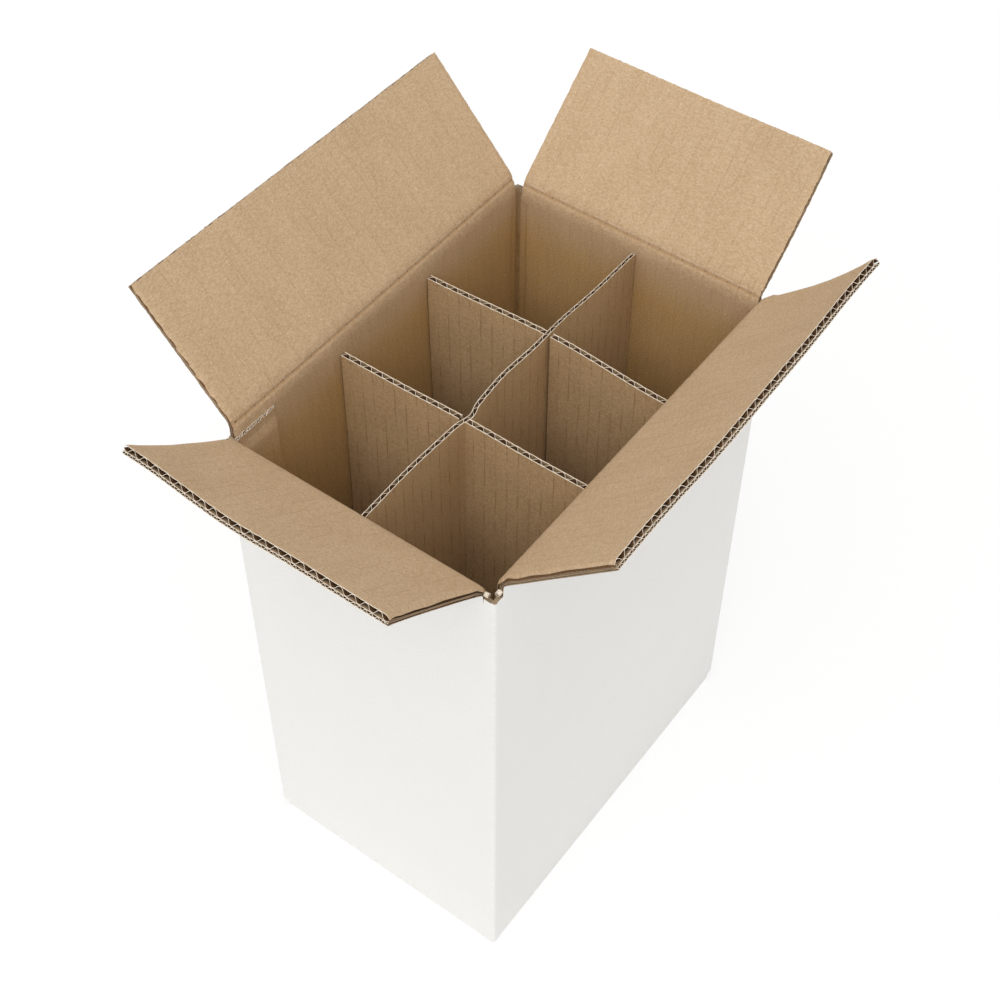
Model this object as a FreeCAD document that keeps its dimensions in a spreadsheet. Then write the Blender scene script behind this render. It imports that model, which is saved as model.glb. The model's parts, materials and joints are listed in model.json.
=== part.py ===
"""Bottle shipping box: a slotted carton in double-wall board with a six-cell partition.

The carton is one folded blank. Its two pairs of bottom flaps are glued shut and its four
top flaps stand open, each on its own crushed crease. Inside, one long divider and two
cross dividers slide into each other's slots and make six upright cells.

Frame: millimetres, +Z up, origin at the middle of the underside. X runs along the long
walls and Y along the end walls. The front wall faces -Y and the left end wall faces -X.
"""
import FreeCAD, Part
import os
import Sketcher

DOCUMENT_NAME = "bottle_shipping_box"
VOLUME_TOLERANCE = 1e-6
LENGTH_TOLERANCE = 1e-3

# Driving dimensions: alias, value, meaning
DIMENSIONS = [
    ("inner_length", 255.0, "clear length between the end walls"),
    ("inner_width", 170.0, "clear width between the long walls"),
    ("inner_height", 352.0, "clear height from the bottom flaps to the closed lid"),
    ("board", 5.2, "thickness of the double-wall board"),
    ("liner_paper", 0.3, "thickness of each flat sheet of paper in a board"),
    ("medium_paper", 0.25, "thickness of the fluted paper in a board"),
    ("small_flute", 1.1, "height of the small flutes under the white face"),
    ("small_pitch", 3.5, "pitch of the small flutes"),
    ("large_pitch", 7.7, "pitch of the large flutes"),
    ("flute_margin", 1.0, "least solid edge beside the first and last flute"),
    ("flap_inset", 6.9, "from the carton's outer corner to the end of a flap"),
    ("slot_drop", 2.0, "how far the slots between the flaps reach below the end crease"),
    ("hinge_gap", 0.1, "from a wall's outer face out to the folding axis"),
    ("crease_gap", 0.05, "play between the two faces of a crease when it is folded shut"),
    ("crease_web", 2.0, "board left at a crushed crease"),
    ("crease_reach", 8.0, "how far the crushing reaches from a crease"),
    ("lid_clearance", 0.3, "play between the closed end flaps and the long flaps above them"),
    ("centre_gap", 0.5, "half the gap between the closed long flaps"),
    ("bottom_seam", 0.4, "gap where the outer bottom flaps meet"),
    ("corner_radius", 3.5, "outside radius of the folded upright corners"),
    ("bottom_radius", 2.2, "outside radius of the folded bottom edges"),
    ("tab_width", 36.0, "width of the glued tab inside the back wall"),
    ("tab_thickness", 3.6, "thickness of the glued tab, pressed flat"),
    ("tab_drop", 9.5, "from the end flap's crease down to the tab's top edge"),
    ("divider_board", 3.7, "thickness of the single-wall divider board"),
    ("divider_play", 1.0, "play between a divider's end and the wall"),
    ("divider_headroom", 1.0, "from a divider's top up to the closed end flaps"),
    ("slot_play", 0.3, "play each side of a divider in the slot that takes it"),
    ("slot_overlap_play", 1.0, "gap left between the bottoms of two crossed slots"),
    ("back_lean", 42.0, "degrees that the back flap leans out from upright"),
    ("front_lean", 46.0, "degrees that the front flap leans out from upright"),
    ("left_lean", 53.5, "degrees that the left end flap leans out from upright"),
    ("right_lean", 49.0, "degrees that the right end flap leans out from upright"),
]

# Sizes worked out from the driving dimensions, as expressions for the document
OUTER_LENGTH = "(Sizes.inner_length + 2 * Sizes.board)"
OUTER_WIDTH = "(Sizes.inner_width + 2 * Sizes.board)"
FLOOR_TOP = "(2 * Sizes.board)"
END_CREASE = f"({FLOOR_TOP} + Sizes.inner_height + Sizes.board + Sizes.hinge_gap)"
LONG_CREASE = f"({END_CREASE} + Sizes.board + Sizes.lid_clearance)"
FLAP_DEPTH = f"({OUTER_WIDTH} / 2 + Sizes.hinge_gap - Sizes.centre_gap)"
BOTTOM_FLAP_DEPTH = f"({OUTER_WIDTH} / 2 - Sizes.bottom_seam / 2)"
LONG_FLAP_LENGTH = f"({OUTER_LENGTH} - 2 * Sizes.flap_inset)"
END_FLAP_LENGTH = f"({OUTER_WIDTH} - 2 * Sizes.flap_inset)"
DIVIDER_HEIGHT = "(Sizes.inner_height - Sizes.divider_headroom)"
SLOT_WIDTH = "(Sizes.divider_board + 2 * Sizes.slot_play)"
CELL_LENGTH = "(Sizes.inner_length / 3)"
SLOT_MIDDLE = f"({DIVIDER_HEIGHT} / 2)"
TRIM = "(4 * Sizes.board)"


def make_sheet(doc):
    """Put the driving dimensions into the spreadsheet, one alias a row."""
    sheet = doc.addObject("Spreadsheet::Sheet", "Sizes")
    for row, (alias, value, meaning) in enumerate(DIMENSIONS, start=1):
        sheet.set(f"A{row}", alias)
        sheet.set(f"B{row}", str(value))
        sheet.set(f"C{row}", meaning)
        sheet.setAlias(f"B{row}", alias)
    doc.recompute()
    return sheet


def origin_plane(body, role):
    """Return the body's own origin plane with this role."""
    return next(item for item in body.Origin.OriginFeatures if item.Role == role)


def outline(body, name, role, corners, lift="0"):
    """Draw a closed outline of straight lines on an origin plane of the body.

    Each corner is a pair of expressions. A dimension ties each corner to the plane's
    origin, and lift is the height of the sketch above its plane.
    """
    sketch = body.newObject("Sketcher::SketchObject", name)
    sketch.AttachmentSupport = [(origin_plane(body, role), "")]
    sketch.MapMode = "FlatFace"
    sketch.setExpression("AttachmentOffset.Base.z", lift)
    points = [
        FreeCAD.Vector(body.evalExpression(across), body.evalExpression(up), 0)
        for across, up in corners
    ]
    count = len(points)
    for index, point in enumerate(points):
        sketch.addGeometry(Part.LineSegment(point, points[(index + 1) % count]), False)
    for index in range(count):
        following = (index + 1) % count
        sketch.addConstraint(Sketcher.Constraint("Coincident", index, 2, following, 1))
    for index, (across, up) in enumerate(corners):
        point = points[index]
        for kind, value, source in (("DistanceX", point.x, across), ("DistanceY", point.y, up)):
            number = sketch.addConstraint(Sketcher.Constraint(kind, -1, 1, index, 1, value))
            label = f"{kind}_{index}"
            sketch.renameConstraint(number, label)
            sketch.setExpression(f"Constraints.{label}", source)
    return sketch


def rectangle(half_across, low_up, high_up):
    """Return the corners of a rectangle that is centred across."""
    return [
        (f"-({half_across})", low_up),
        (half_across, low_up),
        (half_across, high_up),
        (f"-({half_across})", high_up),
    ]


def box_corners(low_across, high_across, low_up, high_up):
    """Return the corners of any upright rectangle."""
    return [
        (low_across, low_up),
        (high_across, low_up),
        (high_across, high_up),
        (low_across, high_up),
    ]


def pad(body, name, sketch, length, symmetric=False):
    """Add material along the sketch's normal."""
    feature = body.newObject("PartDesign::Pad", name)
    feature.Profile = sketch
    feature.setExpression("Length", length)
    if symmetric:
        feature.SideType = "Symmetric"
    body.Document.recompute()
    return feature


def pocket(body, name, sketch, length, symmetric=False, upward=False):
    """Cut material away and make sure that the body lost some."""
    before = body.Shape.Volume
    feature = body.newObject("PartDesign::Pocket", name)
    feature.Profile = sketch
    feature.setExpression("Length", length)
    feature.Reversed = upward
    if symmetric:
        feature.SideType = "Symmetric"
    body.Document.recompute()
    if not feature.Shape.Volume < before * (1 - VOLUME_TOLERANCE):
        raise RuntimeError(f"{name} cuts nothing")
    return feature


def flutes(body, name, top, depth, low, high, pitch, length):
    """Cut a row of open flutes down from a board's cut edge, along X.

    The flutes lie between the two liners at low and high, and stand on them by turns. What
    stays between them is the wavy middle paper. The row is centred on the board.
    """
    count = f"floor(({length} - 2 * Sizes.flute_margin) / {pitch} - 0.5)"
    start = f"-({count} + 0.5) * {pitch} / 2"
    paper = "Sizes.medium_paper"
    sketch = outline(body, f"{name}_standing", "XY_Plane", [
        (f"{start} + {paper}", low),
        (f"{start} + {pitch} - {paper}", low),
        (f"{start} + {pitch} / 2", f"{high} - {paper}"),
    ], lift=top)
    standing = pocket(body, f"{name}_standing_flute", sketch, depth)
    sketch = outline(body, f"{name}_hanging", "XY_Plane", [
        (f"{start} + {pitch} / 2 + {paper}", high),
        (f"{start} + {pitch}", f"{low} + {paper}"),
        (f"{start} + 1.5 * {pitch} - {paper}", high),
    ], lift=top)
    hanging = pocket(body, f"{name}_hanging_flute", sketch, depth)
    row = body.newObject("PartDesign::LinearPattern", f"{name}_row")
    row.Originals = [standing, hanging]
    row.Direction = (origin_plane(body, "X_Axis"), [""])
    row.Mode = "Spacing"
    row.setExpression("Offset", pitch)
    row.setExpression("Occurrences", count)
    body.Tip = row
    body.Document.recompute()
    if not row.Shape.Volume < hanging.Shape.Volume * (1 - VOLUME_TOLERANCE):
        raise RuntimeError(f"{name} repeats nothing")
    return row


def round_edges(body, name, radius, wanted):
    """Round the edges of the body's last feature that the test picks."""
    base = body.Tip
    picked = [
        f"Edge{number}"
        for number, edge in enumerate(base.Shape.Edges, start=1)
        if wanted(edge.BoundBox)
    ]
    feature = body.newObject("PartDesign::Fillet", name)
    feature.Base = (base, picked)
    feature.setExpression("Radius", radius)
    body.Document.recompute()
    return feature


def crease_profile(face, height, outward):
    """Return the waste above a wall that leaves its crushed, mitred top.

    face is the coordinate of the wall's outer face, outward is 1 or -1, and height is the
    level of the folding axis. The top slopes at 45 degrees from the outer face, and below
    that the inner face slopes back to the full thickness of the board.
    """
    inward = "-" if outward > 0 else "+"
    beyond = "+" if outward > 0 else "-"
    mitre_top = f"{height} - Sizes.hinge_gap - Sizes.crease_gap"
    return [
        (f"{face} {beyond} {TRIM}", mitre_top),
        (face, mitre_top),
        (f"{face} {inward} Sizes.crease_web", f"{mitre_top} - Sizes.crease_web"),
        (f"{face} {inward} Sizes.board", f"{height} - Sizes.crease_reach"),
        (f"{face} {inward} Sizes.board", f"{LONG_CREASE} + {TRIM}"),
        (f"{face} {beyond} {TRIM}", f"{LONG_CREASE} + {TRIM}"),
    ]


def make_carton(doc):
    """Build the folded and glued blank: four walls, bottom flaps and the glue tab."""
    body = doc.addObject("PartDesign::Body", "box_body")
    value = body.evalExpression

    footprint = outline(body, "footprint", "XY_Plane", rectangle(
        f"{OUTER_LENGTH} / 2", f"-{OUTER_WIDTH} / 2", f"{OUTER_WIDTH} / 2"))
    pad(body, "block", footprint, LONG_CREASE)

    top = value(LONG_CREASE)
    round_edges(body, "folded_corners", "Sizes.corner_radius",
                lambda box: box.ZLength > top / 2)
    round_edges(body, "folded_bottom_edges", "Sizes.bottom_radius",
                lambda box: box.ZMax < LENGTH_TOLERANCE)

    inside = outline(body, "inside", "XY_Plane", rectangle(
        "Sizes.inner_length / 2", "-Sizes.inner_width / 2", "Sizes.inner_width / 2"),
        lift="Sizes.board")
    pocket(body, "cavity", inside, LONG_CREASE, upward=True)

    for side, outward in (("left", -1), ("right", 1)):
        waste = outline(body, f"{side}_crease_waste", "XZ_Plane", crease_profile(
            f"{outward} * {OUTER_LENGTH} / 2", END_CREASE, outward))
        pocket(body, f"{side}_crease", waste, f"2 * {OUTER_WIDTH}", symmetric=True)
    for side, outward in (("front", -1), ("back", 1)):
        waste = outline(body, f"{side}_crease_waste", "YZ_Plane", crease_profile(
            f"{outward} * {OUTER_WIDTH} / 2", LONG_CREASE, outward))
        pocket(body, f"{side}_crease", waste, f"2 * {OUTER_LENGTH}", symmetric=True)

    for side, sign in (("left", -1), ("right", 1)):
        for face, across in (("front", -1), ("back", 1)):
            slot = outline(body, f"{face}_{side}_slot_outline", "XY_Plane", box_corners(
                f"{sign} * ({OUTER_LENGTH} / 2 - Sizes.flap_inset)",
                f"{sign} * ({OUTER_LENGTH} / 2 + {TRIM})",
                f"{across} * ({OUTER_WIDTH} / 2 - Sizes.flap_inset)",
                f"{across} * ({OUTER_WIDTH} / 2 + {TRIM})"),
                lift=f"{END_CREASE} - Sizes.slot_drop")
            pocket(body, f"{face}_{side}_slot", slot, LONG_CREASE, upward=True)

    for side, sign in (("left", -1), ("right", 1)):
        flap_end = f"{sign} * ({OUTER_LENGTH} / 2 - Sizes.flap_inset)"
        beyond = f"{sign} * ({OUTER_LENGTH} / 2 + {TRIM})"
        step = outline(body, f"{side}_bottom_step_outline", "XZ_Plane", [
            (flap_end, f"-{TRIM}"),
            (flap_end, "Sizes.board"),
            (f"{sign} * ({OUTER_LENGTH} / 2 - Sizes.bottom_radius)", "Sizes.board"),
            (f"{sign} * {OUTER_LENGTH} / 2", "Sizes.board + Sizes.bottom_radius"),
            (beyond, "Sizes.board + Sizes.bottom_radius"),
            (beyond, f"-{TRIM}"),
        ])
        pocket(body, f"{side}_bottom_step", step, f"2 * {OUTER_WIDTH}", symmetric=True)

    for side, sign in (("left", -1), ("right", 1)):
        flap = outline(body, f"{side}_bottom_flap_outline", "XY_Plane", box_corners(
            f"{sign} * ({OUTER_LENGTH} / 2 - {BOTTOM_FLAP_DEPTH})",
            f"{sign} * ({OUTER_LENGTH} / 2 - Sizes.board / 2)",
            "-Sizes.inner_width / 2 - Sizes.board / 4",
            "Sizes.inner_width / 2 + Sizes.board / 4"), lift="Sizes.board")
        pad(body, f"{side}_bottom_flap", flap, "Sizes.board")

    seam = outline(body, "bottom_seam_outline", "YZ_Plane", rectangle(
        "Sizes.bottom_seam / 2", f"-{TRIM}", "Sizes.board"))
    pocket(body, "bottom_seam", seam, f"2 * {OUTER_LENGTH}", symmetric=True)

    tab = outline(body, "glue_tab_outline", "XY_Plane", box_corners(
        "-Sizes.inner_length / 2 - Sizes.board / 4",
        "-Sizes.inner_length / 2 + Sizes.tab_width",
        "Sizes.inner_width / 2 - Sizes.tab_thickness",
        "Sizes.inner_width / 2 + Sizes.board / 4"), lift=FLOOR_TOP)
    pad(body, "glue_tab", tab, f"{END_CREASE} - Sizes.tab_drop - {FLOOR_TOP}")
    return body


def make_flap(doc, name, length, face, crease, turn, lean):
    """Build one top flap upright on its folding axis, then lean it out.

    The flap is drawn with its axis along X at its own origin and the box's inside towards
    +Y. face is the distance of its wall's outer face from the middle of the box, crease
    the height of the axis, and turn swings the flap round to its own wall.
    """
    body = doc.addObject("PartDesign::Body", name)
    heel = "Sizes.hinge_gap + Sizes.crease_gap"
    section = outline(body, f"{name}_section", "YZ_Plane", [
        ("Sizes.hinge_gap", heel),
        ("Sizes.hinge_gap + Sizes.crease_web", f"{heel} + Sizes.crease_web"),
        ("Sizes.hinge_gap + Sizes.board", "Sizes.crease_reach"),
        ("Sizes.hinge_gap + Sizes.board", FLAP_DEPTH),
        ("Sizes.hinge_gap", FLAP_DEPTH),
    ])
    pad(body, f"{name}_board", section, length, symmetric=True)

    depth = f"{FLAP_DEPTH} - Sizes.crease_reach"
    white_liner = "Sizes.hinge_gap + Sizes.liner_paper"
    flutes(body, f"{name}_small", FLAP_DEPTH, depth, white_liner,
           f"{white_liner} + Sizes.small_flute", "Sizes.small_pitch", length)
    flutes(body, f"{name}_large", FLAP_DEPTH, depth,
           f"{white_liner} + Sizes.small_flute + Sizes.liner_paper",
           "Sizes.hinge_gap + Sizes.board - Sizes.liner_paper", "Sizes.large_pitch", length)

    axis_x, axis_y = {
        0: ("0", f"-({face} + Sizes.hinge_gap)"),
        90: (f"{face} + Sizes.hinge_gap", "0"),
        180: ("0", f"{face} + Sizes.hinge_gap"),
        270: (f"-({face} + Sizes.hinge_gap)", "0"),
    }[turn]
    body.setExpression("Placement", (
        f"create(<<placement>>; create(<<vector>>; {axis_x}; {axis_y}; {crease}); "
        f"create(<<rotation>>; create(<<vector>>; 0; 0; 1); {turn}) * "
        f"create(<<rotation>>; create(<<vector>>; 1; 0; 0); {lean}))"))
    return body


def make_divider(doc, name, length, slots, slots_from_below, place, turn):
    """Build one divider panel along X, cut its slots, then set it in the carton."""
    body = doc.addObject("PartDesign::Body", name)
    plan = outline(body, f"{name}_plan", "XY_Plane", rectangle(
        f"{length} / 2", "-Sizes.divider_board / 2", "Sizes.divider_board / 2"))
    pad(body, f"{name}_panel", plan, DIVIDER_HEIGHT)
    flutes(body, f"{name}_large", DIVIDER_HEIGHT, f"2 * {DIVIDER_HEIGHT}",
           "-Sizes.divider_board / 2 + Sizes.liner_paper",
           "Sizes.divider_board / 2 - Sizes.liner_paper", "Sizes.large_pitch", length)
    if slots_from_below:
        low, high = f"-{TRIM}", f"{SLOT_MIDDLE} + Sizes.slot_overlap_play / 2"
    else:
        low, high = f"{SLOT_MIDDLE} - Sizes.slot_overlap_play / 2", f"{DIVIDER_HEIGHT} + {TRIM}"
    for number, middle in enumerate(slots, start=1):
        slot = outline(body, f"{name}_slot_{number}_outline", "XZ_Plane", box_corners(
            f"{middle} - {SLOT_WIDTH} / 2", f"{middle} + {SLOT_WIDTH} / 2", low, high))
        pocket(body, f"{name}_slot_{number}", slot, "2 * Sizes.divider_board", symmetric=True)
    body.setExpression("Placement", (
        f"create(<<placement>>; create(<<vector>>; {place}; 0; {FLOOR_TOP}); "
        f"create(<<rotation>>; create(<<vector>>; 0; 0; 1); {turn}))"))
    return body


def make_parts(doc):
    """Make every sub-part of the box and return them."""
    parts = [make_carton(doc)]
    for name, length, width, crease, turn, lean in (
        ("front_flap", LONG_FLAP_LENGTH, OUTER_WIDTH, LONG_CREASE, 0, "Sizes.front_lean"),
        ("back_flap", LONG_FLAP_LENGTH, OUTER_WIDTH, LONG_CREASE, 180, "Sizes.back_lean"),
        ("left_end_flap", END_FLAP_LENGTH, OUTER_LENGTH, END_CREASE, 270, "Sizes.left_lean"),
        ("right_end_flap", END_FLAP_LENGTH, OUTER_LENGTH, END_CREASE, 90, "Sizes.right_lean"),
    ):
        parts.append(make_flap(doc, name, length, f"{width} / 2", crease, turn, lean))
    parts.append(make_divider(
        doc, "long_divider", "(Sizes.inner_length - 2 * Sizes.divider_play)",
        [f"-{CELL_LENGTH} / 2", f"{CELL_LENGTH} / 2"], True, "0", 0))
    for side, sign in (("left", -1), ("right", 1)):
        parts.append(make_divider(
            doc, f"{side}_cross_divider", "(Sizes.inner_width - 2 * Sizes.divider_play)",
            ["0"], False, f"{sign} * {CELL_LENGTH} / 2", 90))
    return parts


def check(doc, parts):
    """Stop if any feature failed or any sub-part has no sound solid."""
    for item in doc.Objects:
        if "Invalid" in item.State or "Error" in item.State:
            raise RuntimeError(f"{item.Label} did not compute: {item.State}")
    for part in parts:
        if part.Shape.isNull() or not part.Shape.isValid() or part.Shape.Volume <= 0:
            raise RuntimeError(f"{part.Label} has no sound shape")


def write_parts(parts):
    """Write each sub-part to its own STEP file."""
    os.makedirs("parts", exist_ok=True)
    for part in parts:
        part.Shape.exportStep(f"parts/{part.Label}.step")
        box = part.Shape.BoundBox
        print(f"{part.Label}: {len(part.Shape.Solids)} solid, {part.Shape.Volume:.0f} mm3, "
              f"x {box.XMin:.2f}..{box.XMax:.2f}, y {box.YMin:.2f}..{box.YMax:.2f}, "
              f"z {box.ZMin:.2f}..{box.ZMax:.2f}")


def main():
    """Build the document, check it and write the sub-parts."""
    doc = FreeCAD.newDocument(DOCUMENT_NAME)
    make_sheet(doc)
    parts = make_parts(doc)
    doc.recompute()
    check(doc, parts)
    write_parts(parts)


main()
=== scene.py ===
"""A six-bottle shipping carton in white-faced double-wall board, with its partition.

The carton stands open on a pale floor. Its walls, bottom flaps and glue tab are one folded
sheet, its four top flaps bend on crushed creases, and two kinds of slotted divider make six
cells inside. Every board is built from its real papers: flat liners with waved papers
between them, so that the cut edges show open flutes.

Board coordinates: s runs along a crease or across the flutes, u along the flutes, and t
through the board's thickness. Lengths are in metres.
"""
import json
import logging
import math
from collections.abc import Callable, Sequence
from dataclasses import dataclass, field
from enum import Enum

import bpy
import numpy as np
from mathutils import Matrix, Vector


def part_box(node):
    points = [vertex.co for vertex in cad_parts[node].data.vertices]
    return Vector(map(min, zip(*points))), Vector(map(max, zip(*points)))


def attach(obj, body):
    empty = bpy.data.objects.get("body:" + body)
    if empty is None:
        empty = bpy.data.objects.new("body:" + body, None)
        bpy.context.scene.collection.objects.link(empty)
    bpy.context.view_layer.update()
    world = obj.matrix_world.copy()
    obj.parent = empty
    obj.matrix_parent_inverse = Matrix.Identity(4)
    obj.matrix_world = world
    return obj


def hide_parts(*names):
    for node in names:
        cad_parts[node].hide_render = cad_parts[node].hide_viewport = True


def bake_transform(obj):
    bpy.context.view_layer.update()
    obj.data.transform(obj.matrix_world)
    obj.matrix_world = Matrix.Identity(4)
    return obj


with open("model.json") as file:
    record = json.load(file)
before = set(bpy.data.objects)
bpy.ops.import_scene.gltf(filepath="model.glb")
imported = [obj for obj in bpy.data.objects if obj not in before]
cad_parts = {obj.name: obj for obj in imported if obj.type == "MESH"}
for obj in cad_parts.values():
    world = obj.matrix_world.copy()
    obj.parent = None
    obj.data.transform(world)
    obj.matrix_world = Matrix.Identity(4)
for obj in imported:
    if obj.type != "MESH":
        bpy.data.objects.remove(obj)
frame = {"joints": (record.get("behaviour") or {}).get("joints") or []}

MM = 0.001
PLACE = "board_place"
UP = np.array([0.0, 0.0, 1.0])
PLAIN_WHITE = (1.0, 1.0, 1.0, 1.0)
SHARP_ANGLE = math.radians(38)
CLOSE = 1e-6

CARTON_BOARD = 5.2 * MM
DIVIDER_BOARD = 3.7 * MM
LARGE_PITCH = 7.7 * MM
FLAP_DEPTH = 89.2 * MM
STRIP = 9.0 * MM
SLOT_DROP = 2.6 * MM
FLAP_SEED = 3
CORNER_TURNS = 6

# Rows of a flap's grid in mm from the crease, in mm from its tip, and in shares of its depth.
FOLD_ROWS = (-2.6, -1.9, -1.3, -0.8, -0.4, 0.0, 0.4, 0.8, 1.3, 1.9, 2.6)
COARSE_FOLD_ROWS = (-2.6, -1.3, 0.0, 1.3, 2.6)
CREASE_ROWS = (-6, -4, 4, 6, 8, 14)
TIP_ROWS = (0.4, 1.0, 2.2, 5.0)
DEPTH_SHARES = (0.3, 0.45, 0.6, 0.75, 0.88)
SAWN_STEP = 1.45

Placer = Callable[[np.ndarray, np.ndarray, np.ndarray], np.ndarray]

log = logging.getLogger("bottle_carton")


class Finish(Enum):
    """The finishes that a face of paper can have."""

    WHITE = 0
    KRAFT = 1
    FLUTING = 2
    CUT = 3
    # Side cuts and wall edges: darker brown-grey, partly from pressed fibres and partly painted
    # shade on the cut sides.
    PRESSED = 4


class Slot(Enum):
    """The record's material slots."""

    WHITE_FACED = "white_faced_board"
    KRAFT = "kraft_board"


def linear(red: int, green: int, blue: int) -> tuple[float, float, float, float]:
    """Turn a colour as seen on a screen into the linear colour that shaders take.

    Args:
        red: Red from 0 to 255.
        green: Green from 0 to 255.
        blue: Blue from 0 to 255.

    Returns:
        The linear colour with an alpha of 1.
    """
    def channel(value: int) -> float:
        """Return one channel in linear light."""
        share = value / 255
        return share / 12.92 if share <= 0.04045 else ((share + 0.055) / 1.055) ** 2.4

    return (channel(red), channel(green), channel(blue), 1.0)


def wander(places: np.ndarray, reach: float, seed: int, waves: int = 6) -> np.ndarray:
    """Return a smooth random line that repeats with its seed.

    Args:
        places: Where to read the line, in metres.
        reach: The rough length of one wave, in metres.
        seed: Which random line to take.
        waves: How many waves are added up.

    Returns:
        A value for each place, mostly between -1 and 1.
    """
    random = np.random.default_rng(seed)
    total = np.zeros_like(places, dtype=float)
    for _ in range(waves):
        turn = 2 * math.pi / reach * random.uniform(0.5, 1.9)
        total += np.sin(places * turn + random.uniform(0, 2 * math.pi))
    return total / math.sqrt(waves)


def hump(distance: np.ndarray, width: float) -> np.ndarray:
    """Return a smooth bell that is 1 at no distance and fades over the width."""
    return np.exp(-((distance / width) ** 2))


def smooth_step(values: np.ndarray, low: float, high: float) -> np.ndarray:
    """Return 0 below low and 1 above high, with a smooth rise between them."""
    share = np.clip((values - low) / (high - low), 0, 1)
    return share * share * (3 - 2 * share)


def samples(low: float, high: float, step: float, extra: Sequence[float] = ()) -> np.ndarray:
    """Return evenly spaced values with both ends and any extra values among them.

    Args:
        low: The first value.
        high: The last value.
        step: The rough distance between values.
        extra: Values between the ends that have to be there exactly.

    Returns:
        The sorted values, none closer together than a twentieth of the step.
    """
    count = max(2, round((high - low) / step) + 1)
    fixed = sorted({low, high, *(value for value in extra if low < value < high)})
    merged = list(fixed)
    for value in np.linspace(low, high, count):
        if min(abs(value - other) for other in fixed) > step / 20:
            merged.append(float(value))
    return np.array(sorted(merged))


@dataclass
class MeshDraft:
    """Plates of paper gathered into one mesh, with the board coordinates of every point."""

    points: list[np.ndarray] = field(default_factory=list)
    places: list[np.ndarray] = field(default_factory=list)
    faces: list[np.ndarray] = field(default_factory=list)
    finishes: list[np.ndarray] = field(default_factory=list)
    count: int = 0

    def add_plate(
        self,
        front: np.ndarray,
        back: np.ndarray,
        places: tuple[np.ndarray, np.ndarray],
        finishes: Sequence[Finish],
        keep: np.ndarray | None = None,
        closed: bool = False,
    ) -> None:
        """Add a closed plate between two grids of points.

        Args:
            front: The front grid, as columns, rows and coordinates.
            back: The back grid, of the same shape.
            places: The board coordinates of the front and back grids.
            finishes: The finishes of the front, the back and the cut edges, and as a fourth
                that of the cuts across the columns where it differs.
            keep: Which cells of the grid are there; all of them if it is left out.
            closed: Whether the last column joins the first one.
        """
        columns, rows = front.shape[:2]
        cells = (columns if closed else columns - 1, rows - 1)
        keep = np.ones(cells, bool) if keep is None else keep
        here = np.arange(columns * rows).reshape(columns, rows)
        there = np.roll(here, -1, axis=0)
        a, b = here[: cells[0], :-1], there[: cells[0], :-1]
        c, d = there[: cells[0], 1:], here[: cells[0], 1:]
        under = columns * rows
        quads = [np.stack([a, b, c, d], -1)[keep], np.stack([a, d, c, b], -1)[keep] + under]
        kept = np.pad(keep, 1)
        if closed:
            kept[0, 1:-1], kept[-1, 1:-1] = keep[-1], keep[0]
        for beside, first, last in (
            (kept[:-2, 1:-1], a, d), (kept[2:, 1:-1], c, b),
            (kept[1:-1, :-2], b, a), (kept[1:-1, 2:], d, c),
        ):
            rim = np.stack([first, last, last + under, first + under], -1)
            quads.append(rim[keep & ~beside])
        kinds = (*finishes[:2], finishes[-1], finishes[-1], finishes[2], finishes[2])
        self._append(np.concatenate([front.reshape(-1, 3), back.reshape(-1, 3)]),
                     np.concatenate([grid.reshape(-1, 3) for grid in places]), quads,
                     np.repeat([kind.value for kind in kinds], [len(part) for part in quads]))

    def _append(self, points: np.ndarray, places: np.ndarray, parts: list[np.ndarray],
                kinds: np.ndarray) -> None:
        """Turn the faces outward, drop unused points and store the plate.

        Args:
            points: The points of the front grid and then of the back grid.
            places: Their board coordinates.
            parts: The corners of each face, those of the front first.
            kinds: The finish of each face.
        """
        quads, shown = np.concatenate(parts), parts[0]
        crossed = np.cross(points[shown[:, 2]] - points[shown[:, 0]],
                           points[shown[:, 3]] - points[shown[:, 1]])
        away = points[shown[:, 0]] - points[shown[:, 0] + len(points) // 2]
        if float((crossed * away).sum()) < 0:
            quads = quads[:, ::-1]
        used, renumbered = np.unique(quads, return_inverse=True)
        self.points.append(points[used])
        self.places.append(places[used])
        self.faces.append(renumbered.reshape(-1, 4) + self.count)
        self.finishes.append(kinds)
        self.count += len(used)

    def add_sheet(
        self,
        placer: Placer,
        grid: tuple[np.ndarray, np.ndarray],
        span: tuple[np.ndarray, np.ndarray],
        finishes: Sequence[Finish],
        keep: np.ndarray | None = None,
    ) -> None:
        """Add one sheet of paper that is given in board coordinates.

        Args:
            placer: Turns s, u and t into points of the frame.
            grid: The s and u of every grid point.
            span: The t of the sheet's two faces at every grid point.
            finishes: The finishes of the face at the first t, at the second, and of the cuts.
            keep: Which cells are there; all of them if it is left out.
        """
        s, u = grid
        sides = [placer(s, u, t) for t in span]
        places = tuple(np.stack([s, u, t], -1) for t in span)
        self.add_plate(sides[0], sides[1], places, finishes, keep)

    def build(self, name: str, materials: dict[Finish, bpy.types.Material]) -> bpy.types.Object:
        """Make the gathered plates into an object.

        Args:
            name: The name of the piece.
            materials: The material of each finish.

        Returns:
            The new object, linked to the scene.
        """
        points = np.concatenate(self.points)
        faces = np.concatenate(self.faces)
        mesh = bpy.data.meshes.new(name)
        mesh.from_pydata(points.tolist(), [], faces.tolist())
        attribute = mesh.attributes.new(PLACE, "FLOAT_VECTOR", "POINT")
        attribute.data.foreach_set("vector", np.concatenate(self.places).astype(np.float32).ravel())
        for finish in Finish:
            mesh.materials.append(materials[finish])
        mesh.polygons.foreach_set("material_index", np.concatenate(self.finishes).astype(np.int32))
        mesh.shade_smooth()
        mesh.set_sharp_from_angle(angle=SHARP_ANGLE)
        mesh.update()
        piece = bpy.data.objects.new(name, mesh)
        bpy.context.scene.collection.objects.link(piece)
        return piece


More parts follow.
